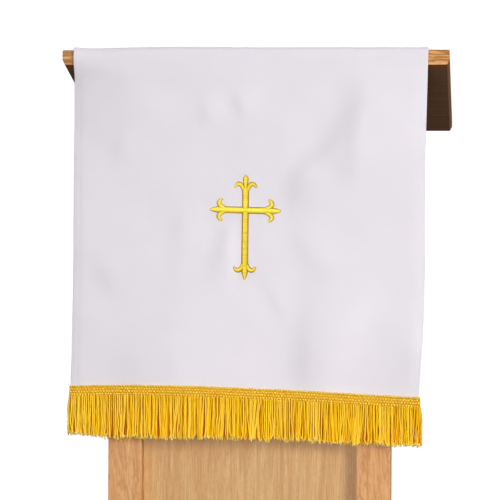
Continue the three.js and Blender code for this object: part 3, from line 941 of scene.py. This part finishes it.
def fringe_heading(material):
    """A gimp braid: rows of cord drawn into beads, set like bricks, on a tape."""
    draw = np.random.default_rng(HEADING_SEED)
    beads = round(fringe_width(HEADING_DROP) / BEAD_PITCH)
    share = np.linspace(0, 1, beads * BEAD_STEPS + 1)
    top = heading_top_at(share)
    paths, radii, tones = [], [], []
    for row in range(BEAD_ROWS):
        round_part = np.abs(np.sin((share * beads + row / 2) * math.pi))
        size = np.append(np.repeat(draw.uniform(*BEAD_SIZES, beads), BEAD_STEPS), 1.0)
        drop = top + BEAD_ROW_START + row * BEAD_ROW_STEP
        wave = np.sin(share * BEAD_ROW_WAVE["turn"] + row * BEAD_ROW_WAVE["next_row"])
        drop = drop + BEAD_ROW_WAVE["height"] * wave
        height = HEADING_SEAT + BEAD_HEIGHT + BEAD_CROWN * round_part
        paths.append(hanging(fringe_x(share, drop), drop, height))
        radii.append(BEAD_RADIUS * size * (BEAD_WAIST + (1 - BEAD_WAIST) * round_part))
        # painted highlight on the bead's crown
        crown_highlight = BEAD_TONE["crown_highlight"] * round_part ** 2
        tones.append(BEAD_TONE["waist"] + crown_highlight + BEAD_TONE["size"] * (size - 1))
    tones = np.clip(tones, 0, BEAD_TONE["most"])
    rows = tubes(np.array(paths), np.array(radii), ROUND_SIDES, (0, 1, 0), tones)
    heading = piece("heading_braid", joined([rows, heading_tape()]), material)
    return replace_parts(heading, "fringe_heading")


def clumps(draw, count, share):
    """Neighbouring strands in small groups: each strand's group and that group's middle."""
    group = np.cumsum(draw.random(count) < GROUP_CHANCE)
    middle = np.bincount(group, share) / np.maximum(np.bincount(group), 1)
    return group, middle[group]


def strand_layer(layer, material, number):
    """One layer of hanging strands: clumped, wavy, and uneven and curled at their ends."""
    draw = np.random.default_rng(STRAND_SEED + number)
    width = fringe_width(STRANDS_DROP)
    count = int(width / layer["pitch"])
    each = (count, 1)
    stray = layer["stray"]

    def spread(kind, middle=0, size=each):
        return draw.normal(middle, SPREAD[kind], size)

    place = np.arange(count) + 0.5 + stray * spread("place", size=count)
    share = np.clip(place / count, *SHARE_LIMITS)
    group, middle = clumps(draw, count, share)
    groups = group[-1] + 1
    down = np.linspace(0, 1, STRAND_STEPS)
    tip = smoothstep(down, TIP_START, 1)
    top = heading_top_at(share) + HEADING_HEIGHT - STRAND_OVERLAP
    uneven = spread("end", -END_RAISE, count) + spread("group_end", size=groups)[group]
    end = value_in(STRAND_ENDS, "x", "drop", fringe_x(share, HEADING_DROP)) + uneven
    drop = top[:, None] + down * (end - top)[:, None]
    gather = (middle - share) * width * (layer["gather"] * draw.uniform(*GROUP_PULL, groups))[group]
    pull = stray * spread("group_swing", size=groups)[group]
    x = fringe_x(share, top)[:, None] + (gather + pull)[:, None] * down ** GATHER_CURVE
    slow, fast = (np.sin(down * draw.uniform(*turn, each) + draw.uniform(*WAVE_PHASE, each))
                  for turn in (SLOW_WAVE, FAST_WAVE))
    x = x + stray * (spread("slow_sway") * slow + spread("fast_sway") * fast) * (TOP_SWAY + down)
    x = x + tip * spread("tip_swing")
    flare = smoothstep(share, layer["flare_from"], 1) - smoothstep(1 - share, layer["flare_from"], 1)
    x = x + FLARE * flare[:, None] * smoothstep(down, *FLARE_DOWN)
    depth = layer["depth"] + spread("depth") + spread("depth_drift") * down
    depth = depth + spread("depth_wave") * fast + (1 - down) ** 6
    depth = depth + tip * spread("tip_depth", TIP_FORWARD)
    hung_from = np.minimum(drop, top[:, None] + ON_CLOTH)
    anchor = hanging(fringe_x(share, top)[:, None], hung_from, STRAND_SEAT + depth)
    paths = np.stack([x, anchor[..., 1], DESK_EDGE_HEIGHT - drop], -1)
    ripple = 1 + STRAND_RIPPLE["share"] * np.sin(down * STRAND_RIPPLE["turn"])
    radii = layer["radius"] * ripple * draw.uniform(*STRAND_SIZES, each)
    radii = radii * np.where(down > TIP_CLOSED["from"], TIP_CLOSED["share"], 1 + TIP_SWELL * tip)
    tones = np.clip(spread("tone", layer["tone"]), 0, STRAND_TONE_MOST)
    tones = tones + smoothstep(down, PALE_TIP_START, 1)
    made = tubes(paths, radii, ROUND_SIDES, (0, 1, 0), tones)
    return piece(layer["name"], made, material)


# The lectern

SOLID_WOOD = {
    "light": linear(231, 186, 121), "warm": linear(215, 154, 89), "dark": linear(168, 104, 50),
    "pore": linear(134, 78, 38),
}
# The desk wood's last three colours are painted shade, for the underside of the board.
DESK_WOOD = {
    "light": linear(240, 187, 118), "warm": linear(219, 152, 86), "dark": linear(120, 66, 28),
    "pore": linear(104, 56, 24), "painted_shade_colour": linear(108, 82, 59), "painted_shade_streak": linear(94, 69, 48),
    "painted_shade_edge": linear(128, 72, 38),
}
VENEER = {
    "light": linear(219, 175, 114), "warm": linear(207, 157, 96), "dark": linear(175, 121, 64),
    "pore": linear(156, 104, 56),
}
PAINTED_SHADE_EDGE_END = -140           # the painted shade is redder from the desk's high edge to this y
STRIP_JUMP = 3.0                # metres that a strip's grain pattern is shifted, at most
RING_TURNS = 42.0
PORE_DEPTH = 0.06
UPRIGHT_EASE = 1.2
BOARD_EASE = 0.8
POST_STRIPS = {"across": "X", "width": 24.5, "offset": 0.478, "slant": 0.4}
DESK_STRIPS = {"across": "Y", "width": 42, "offset": 0.3, "slant": 0}
BASE_STRIPS = {"across": "Y", "width": 42, "offset": 0.1, "slant": 0}


def eased(node, width):
    """Rounds the sharp arrises of a CAD board a little."""
    edges = node.modifiers.new("eased", "BEVEL")
    edges.width = width * MM
    edges.segments = 3
    edges.limit_method = "ANGLE"
    edges.angle_limit = math.radians(40)


def lectern():
    finishes = {
        "post": wood_material("upright_wood", "Z", SOLID_WOOD, POST_STRIPS, figure=0.8),
        "panel": wood_material("panel_wood", "Z", VENEER, figure=0.2, streak=0.35, length=2.5),
        "desk_board": wood_material("desk_wood", "X", DESK_WOOD, DESK_STRIPS, figure=0.8, streak=0.8,
                                    gloss=0.12, painted_shade=True),
        "base_board": wood_material("base_wood", "X", SOLID_WOOD, BASE_STRIPS),
    }
    for name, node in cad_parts.items():
        for ending, material in finishes.items():
            if name.endswith(ending):
                node.data.materials.clear()
                node.data.materials.append(material)
                eased(node, UPRIGHT_EASE if ending in ("post", "panel") else BOARD_EASE)


# Camera, light and floor

CAMERA_FROM_EDGE = (333.2, -4000, -295.6)  # from the middle of the desk's high edge
CAMERA_YAW = 0.0846
CAMERA_ROLL = 0.00486
FOCAL_PIXELS = 2720                        # in a frame 500 pixels wide
FRAME_PIXELS = 500
SENSOR = 36

LIGHTS_AIM = 0.85                          # height of the point that the lights are turned to
LIGHTS = table(
    ("name", "azimuth", "elevation", "distance", "size", "power", "diffuse"),
    ("key", 42, 9, 5, 1.9, 143, True),
    ("low", 0, -8, 2.4, 0.9, 21.5, True),
    ("top", 0, 80, 3.6, 1.6, 28, True),
    ("rear", 160, 35, 3.6, 2, 90, True),
    ("glint", -38, 20, 3.6, 0.9, 380, False),
)
WHITE = (1, 1, 1, 1)
SURROUND_SEEN = 1.05
SURROUND_LIT = 0.2
FLOOR_HALF = 6.5
FLOOR_SINK = 0.0005
FLOOR_FADE = (1.2, 3.6)
FLOOR_GLOW = 0.35


def camera():
    data = bpy.data.cameras.new("camera")
    data.sensor_width = SENSOR
    data.lens = FOCAL_PIXELS / FRAME_PIXELS * SENSOR
    made = new_object("camera", data)
    ahead = Vector((-math.sin(CAMERA_YAW), math.cos(CAMERA_YAW), 0))
    level = Vector((math.cos(CAMERA_YAW), math.sin(CAMERA_YAW), 0))
    up = Vector((0, 0, 1))
    right = level * math.cos(CAMERA_ROLL) + up * math.sin(CAMERA_ROLL)
    over = up * math.cos(CAMERA_ROLL) - level * math.sin(CAMERA_ROLL)
    place = Vector((DESK_MIDDLE, DESK_EDGE_Y, DESK_EDGE_HEIGHT)) + Vector(CAMERA_FROM_EDGE)
    turn = Matrix((right, over, -ahead)).transposed()
    made.matrix_world = Matrix.Translation(place * MM) @ turn.to_4x4()
    bpy.context.scene.camera = made


def soft_light(name, azimuth, elevation, distance, size, power, diffuse):
    """A round soft light. Its angles are seen from the scarf, in degrees, azimuth to +X. One
    that isn't diffuse shows only as a gleam."""
    across, up = math.radians(azimuth), math.radians(elevation)
    aim = Vector((math.sin(across) * math.cos(up), -math.cos(across) * math.cos(up), math.sin(up)))
    data = bpy.data.lights.new(name, "AREA")
    data.shape = "DISK"
    data.size = size
    data.energy = power
    made = new_object(name, data)
    made.location = Vector((0, DESK_EDGE_Y * MM, LIGHTS_AIM)) + distance * aim
    made.rotation_euler = aim.to_track_quat("Z", "Y").to_euler()
    made.visible_camera = False
    made.visible_diffuse = diffuse


def studio():
    """Soft lights round the scarf in a white surround, which is dimmer as a light than as seen."""
    for light in LIGHTS:
        soft_light(**light)
    world = bpy.data.worlds.new("studio")
    world.use_nodes = True
    seen = world.node_tree.nodes["Background"]
    seen.inputs["Color"].default_value = WHITE
    seen.inputs["Strength"].default_value = SURROUND_SEEN
    lit = add(world, "ShaderNodeBackground", {"Color": WHITE, "Strength": SURROUND_LIT}).outputs[0]
    camera_ray = add(world, "ShaderNodeLightPath").outputs["Is Camera Ray"]
    mix = add(world, "ShaderNodeMixShader", {0: camera_ray, 1: lit, 2: seen.outputs[0]}).outputs[0]
    world.node_tree.links.new(mix, world.node_tree.nodes["World Output"].inputs["Surface"])
    bpy.context.scene.world = world
    bpy.context.scene.view_settings.view_transform = "Standard"


def floor_material():
    """Pale and lit from within as seen, darker as a reflector, and fading out far away."""
    material = new_material("floor", Base_Color=linear(238, 238, 238), Roughness=0.9,
                            Emission_Color=WHITE, Emission_Strength=FLOOR_GLOW)
    shader = material.node_tree.nodes["Principled BSDF"]
    links = material.node_tree.links
    dim = add(material, "ShaderNodeBsdfDiffuse", {"Color": linear(150, 148, 146)}).outputs[0]
    seen = add(material, "ShaderNodeLightPath").outputs["Is Camera Ray"]
    first = add(material, "ShaderNodeMixShader", {0: seen, 1: dim, 2: shader.outputs[0]}).outputs[0]
    place = add(material, "ShaderNodeTexCoord").outputs["Object"]
    gone = ramp(material, vector_maths(material, "LENGTH", place), *FLOOR_FADE)
    clear = add(material, "ShaderNodeBsdfTransparent").outputs[0]
    second = add(material, "ShaderNodeMixShader", {0: gone, 1: first, 2: clear}).outputs[0]
    links.new(second, material.node_tree.nodes["Material Output"].inputs["Surface"])
    return material


def floor():
    mesh = bpy.data.meshes.new("floor")
    corners = [(x * FLOOR_HALF, y * FLOOR_HALF, 0) for x, y in ((-1, -1), (1, -1), (1, 1), (-1, 1))]
    mesh.from_pydata(corners, [], [(0, 1, 2, 3)])
    mesh.materials.append(floor_material())
    made = new_object("floor", mesh)
    made.location.z = -FLOOR_SINK


camera()
studio()
floor()
lectern()

white = cloth_material()
gold_satin = thread_material("gold_satin", SATIN_GOLD, roughness=0.24, gloss=1.0, twist_pitch=1.2,
                             twist_depth=0.03)
gold_cord = thread_material("gold_cord", CORD_GOLD, roughness=0.42, gloss=0.9, twist_pitch=2.6,
                            twist_depth=0.2)
white_thread = new_material("white_thread", Base_Color=linear(236, 232, 238), Roughness=0.6)

scarf, cut_length, cut_width = scarf_cloth(white)
stitches = hem_stitches(white_thread)
cross = cross_embroidery(gold_satin)
heading = fringe_heading(gold_cord)
fringes = [strand_layer(layer, gold_cord, i) for i, layer in enumerate(STRAND_LAYERS)]
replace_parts(fringes[0], "fringe_skirt")
